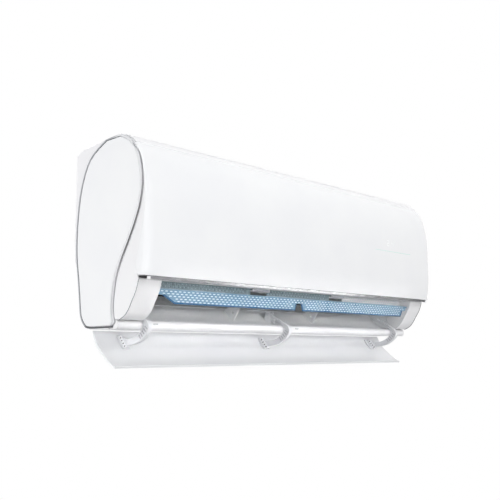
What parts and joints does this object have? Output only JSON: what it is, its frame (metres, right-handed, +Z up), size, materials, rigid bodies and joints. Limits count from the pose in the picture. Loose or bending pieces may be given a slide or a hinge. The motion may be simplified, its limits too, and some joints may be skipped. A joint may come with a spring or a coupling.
{
  "type": "mini split indoor unit",
  "caption": "Wall-hung indoor unit of a split air conditioner with a lifting front panel, a bottom flap on hook arms, a slotted louvre, vanes, filters, coil and cross-flow fan.",
  "frame": {"origin": "centre of the wall plate's back face, on the plane of the wall", "axes": "+X to the right of someone facing the unit, +Y into the wall, +Z up"},
  "size_m": [0.88, 0.2051, 0.3948],
  "materials": {
    "galvanised_steel": "zinc-coated sheet, dull",
    "case_white": "fine satin white plastic",
    "gloss_white": "smooth gloss white plastic",
    "silver_trim": "dark silver plated trim",
    "dark_strip": "dark smoked strip with a bright lower edge",
    "board_green": "circuit board",
    "duct_grey": "satin light grey plastic",
    "vane_grey": "satin grey plastic",
    "louvre_blue": "blue plastic with a pattern of small slots",
    "fan_dark": "dark glass-filled plastic",
    "shaft_steel": "bright steel",
    "rubber_black": "soft black rubber",
    "fin_aluminium": "pale blue coated fins",
    "copper": "drawn copper tube",
    "brass": "machined brass",
    "black_plastic": "moulded black plastic"
  },
  "bodies": {
    "unit": {"wall_plate": "galvanised_steel", "coil_end_plate_left": "galvanised_steel", "coil_end_plate_right": "galvanised_steel", "rear_chassis": "case_white", "front_frame": "case_white", "outlet_frame": "case_white", "top_grille": "case_white", "outlet_lip": "case_white", "bearing_mount": "case_white", "motor_clamp": "case_white", "box_lid": "case_white", "left_end_cap": "gloss_white", "right_end_cap": "gloss_white", "left_trim": "silver_trim", "right_trim": "silver_trim", "control_board": "board_green", "air_duct": "duct_grey", "duct_top": "duct_grey", "fan_motor": "shaft_steel", "flap_motor": "shaft_steel", "louvre_motor": "shaft_steel", "fan_bearing": "rubber_black", "coil_front_lower": "fin_aluminium", "coil_front_upper": "fin_aluminium", "coil_rear": "fin_aluminium", "gas_pipe": "copper", "liquid_pipe": "copper", "coil_sensor": "copper", "gas_flare_nut": "brass", "liquid_flare_nut": "brass", "drain_port": "black_plastic", "electrical_box": "black_plastic", "terminal_block": "black_plastic"},
    "fan": {"cross_flow_fan": "fan_dark", "motor_shaft": "shaft_steel"},
    "front_panel": {"front_panel": "gloss_white", "panel_strip": "dark_strip", "display_board": "board_green"},
    "flap": {"flap": "gloss_white", "flap_arm_left": "case_white", "flap_arm_middle": "case_white", "flap_arm_right": "case_white"},
    "louvre": {"louvre": "louvre_blue"},
    "filter_left": {"filter_left": "black_plastic"},
    "filter_right": {"filter_right": "black_plastic"},
    "emergency_button": {"emergency_button": "case_white"},
    "vane_left_1": {"vane_left_1": "vane_grey"},
    "vane_left_2": {"vane_left_2": "vane_grey"},
    "vane_left_3": {"vane_left_3": "vane_grey"},
    "vane_left_4": {"vane_left_4": "vane_grey"},
    "vane_link_left": {"vane_link_left": "black_plastic"},
    "vane_middle_1": {"vane_middle_1": "vane_grey"},
    "vane_middle_2": {"vane_middle_2": "vane_grey"},
    "vane_middle_3": {"vane_middle_3": "vane_grey"},
    "vane_link_middle": {"vane_link_middle": "black_plastic"},
    "vane_right_1": {"vane_right_1": "vane_grey"},
    "vane_right_2": {"vane_right_2": "vane_grey"},
    "vane_right_3": {"vane_right_3": "vane_grey"},
    "vane_right_4": {"vane_right_4": "vane_grey"},
    "vane_link_right": {"vane_link_right": "black_plastic"}
  },
  "joints": [
    {"name": "fan_spin", "type": "hinge", "parent": "unit", "child": "fan", "pos_m": [0, -0.084, -0.029], "axis": [1, 0, 0], "continuous": true},
    {"name": "panel_lift", "type": "hinge", "parent": "unit", "child": "front_panel", "pos_m": [0, -0.166, 0.142], "axis": [-1, 0, 0], "range_deg": [0, 60]},
    {"name": "flap_close", "type": "hinge", "parent": "unit", "child": "flap", "pos_m": [0, -0.0895, -0.127], "axis": [-1, 0, 0], "range_deg": [0, 99]},
    {"name": "louvre_tilt", "type": "hinge", "parent": "unit", "child": "louvre", "pos_m": [0, -0.167, -0.099], "axis": [1, 0, 0], "range_deg": [0, 60]},
    {"name": "filter_left_pull", "type": "slide", "parent": "unit", "child": "filter_left", "axis": [0, 0.0849, 0.9964], "range_m": [0, 0.19]},
    {"name": "filter_right_pull", "type": "slide", "parent": "unit", "child": "filter_right", "axis": [0, 0.0849, 0.9964], "range_m": [0, 0.19]},
    {"name": "button_press", "type": "slide", "parent": "unit", "child": "emergency_button", "axis": [0, 1, 0], "range_m": [0, 0.002], "stiffness_N_per_m": 400, "springref_m": -0.001},
    {"name": "vane_left_1_turn", "type": "hinge", "parent": "unit", "child": "vane_left_1", "pos_m": [-0.341, -0.14, -0.0665], "axis": [0, 0, 1], "range_deg": [-30, 30]},
    {"name": "vane_left_2_turn", "type": "hinge", "parent": "unit", "child": "vane_left_2", "pos_m": [-0.284, -0.14, -0.0665], "axis": [0, 0, 1], "range_deg": [-30, 30]},
    {"name": "vane_left_3_turn", "type": "hinge", "parent": "unit", "child": "vane_left_3", "pos_m": [-0.227, -0.14, -0.0665], "axis": [0, 0, 1], "range_deg": [-30, 30]},
    {"name": "vane_left_4_turn", "type": "hinge", "parent": "unit", "child": "vane_left_4", "pos_m": [-0.17, -0.14, -0.0665], "axis": [0, 0, 1], "range_deg": [-30, 30]},
    {"name": "vane_link_left_slide", "type": "slide", "parent": "unit", "child": "vane_link_left", "axis": [-1, 0, 0], "range_m": [-0.0085, 0.0085]},
    {"name": "vane_middle_1_turn", "type": "hinge", "parent": "unit", "child": "vane_middle_1", "pos_m": [0.012, -0.14, -0.0665], "axis": [0, 0, 1], "range_deg": [-30, 30]},
    {"name": "vane_middle_2_turn", "type": "hinge", "parent": "unit", "child": "vane_middle_2", "pos_m": [0.047, -0.14, -0.0665], "axis": [0, 0, 1], "range_deg": [-30, 30]},
    {"name": "vane_middle_3_turn", "type": "hinge", "parent": "unit", "child": "vane_middle_3", "pos_m": [0.082, -0.14, -0.0665], "axis": [0, 0, 1], "range_deg": [-30, 30]},
    {"name": "vane_link_middle_slide", "type": "slide", "parent": "unit", "child": "vane_link_middle", "axis": [-1, 0, 0], "range_m": [-0.0085, 0.0085]},
    {"name": "vane_right_1_turn", "type": "hinge", "parent": "unit", "child": "vane_right_1", "pos_m": [0.19, -0.14, -0.0665], "axis": [0, 0, 1], "range_deg": [-30, 30]},
    {"name": "vane_right_2_turn", "type": "hinge", "parent": "unit", "child": "vane_right_2", "pos_m": [0.242, -0.14, -0.0665], "axis": [0, 0, 1], "range_deg": [-30, 30]},
    {"name": "vane_right_3_turn", "type": "hinge", "parent": "unit", "child": "vane_right_3", "pos_m": [0.294, -0.14, -0.0665], "axis": [0, 0, 1], "range_deg": [-30, 30]},
    {"name": "vane_right_4_turn", "type": "hinge", "parent": "unit", "child": "vane_right_4", "pos_m": [0.346, -0.14, -0.0665], "axis": [0, 0, 1], "range_deg": [-30, 30]},
    {"name": "vane_link_right_slide", "type": "slide", "parent": "unit", "child": "vane_link_right", "axis": [-1, 0, 0], "range_m": [-0.0085, 0.0085]}
  ],
  "couplings": [
    {"joint": "vane_left_2_turn", "follows": "vane_left_1_turn", "ratio": 1},
    {"joint": "vane_left_3_turn", "follows": "vane_left_1_turn", "ratio": 1},
    {"joint": "vane_left_4_turn", "follows": "vane_left_1_turn", "ratio": 1},
    {"joint": "vane_link_left_slide", "follows": "vane_left_1_turn", "m_per_rad": 0.016},
    {"joint": "vane_middle_2_turn", "follows": "vane_middle_1_turn", "ratio": 1},
    {"joint": "vane_middle_3_turn", "follows": "vane_middle_1_turn", "ratio": 1},
    {"joint": "vane_link_middle_slide", "follows": "vane_middle_1_turn", "m_per_rad": 0.016},
    {"joint": "vane_right_2_turn", "follows": "vane_right_1_turn", "ratio": 1},
    {"joint": "vane_right_3_turn", "follows": "vane_right_1_turn", "ratio": 1},
    {"joint": "vane_right_4_turn", "follows": "vane_right_1_turn", "ratio": 1},
    {"joint": "vane_link_right_slide", "follows": "vane_right_1_turn", "m_per_rad": 0.016}
  ]
}
